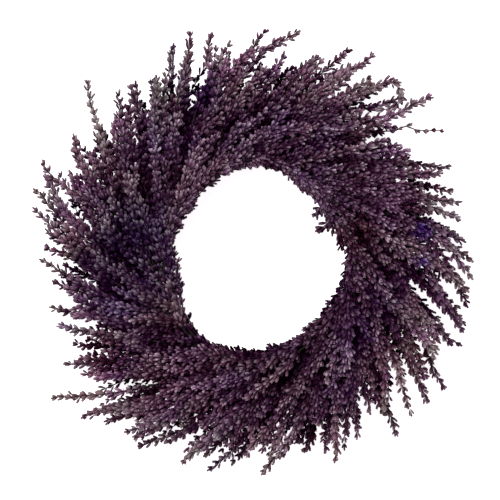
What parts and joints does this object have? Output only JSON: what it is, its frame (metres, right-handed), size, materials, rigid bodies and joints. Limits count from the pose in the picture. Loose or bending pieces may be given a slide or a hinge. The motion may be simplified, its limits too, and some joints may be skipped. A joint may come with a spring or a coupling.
{
  "type": "lavender wreath",
  "caption": "Round wreath of dried lavender bunches wired to a flat ring frame, the spikes sweeping clockwise and outwards round an open centre.",
  "frame": {"origin": "on the surface that the wreath lies on, under the middle of its outline", "axes": "+Z out of the wreath's front, +Y towards the top of the wreath as it hangs, +X to its right seen from the front"},
  "size_m": [0.4949, 0.4991, 0.0898],
  "materials": {
    "frame_wire": "satin dark green",
    "binding_wire": "dull brown",
    "lavender": "matte dried plum florets on brown stems"
  },
  "bodies": {
    "root": {"wire_frame": "frame_wire", "tie_01": "binding_wire", "tie_02": "binding_wire", "tie_03": "binding_wire", "tie_04": "binding_wire", "tie_05": "binding_wire", "tie_06": "binding_wire", "tie_07": "binding_wire", "tie_08": "binding_wire", "tie_09": "binding_wire", "tie_10": "binding_wire", "tie_11": "binding_wire", "tie_12": "binding_wire", "tie_13": "binding_wire", "tie_14": "binding_wire", "tie_15": "binding_wire", "tie_16": "binding_wire", "tie_17": "binding_wire", "tie_18": "binding_wire", "lavender_bunch_01": "lavender", "lavender_bunch_02": "lavender", "lavender_bunch_03": "lavender", "lavender_bunch_04": "lavender", "lavender_bunch_05": "lavender", "lavender_bunch_06": "lavender", "lavender_bunch_07": "lavender", "lavender_bunch_08": "lavender", "lavender_bunch_09": "lavender", "lavender_bunch_10": "lavender", "lavender_bunch_11": "lavender", "lavender_bunch_12": "lavender", "lavender_bunch_13": "lavender", "lavender_bunch_14": "lavender", "lavender_bunch_15": "lavender", "lavender_bunch_16": "lavender", "lavender_bunch_17": "lavender", "lavender_bunch_18": "lavender"}
  },
  "joints": []
}
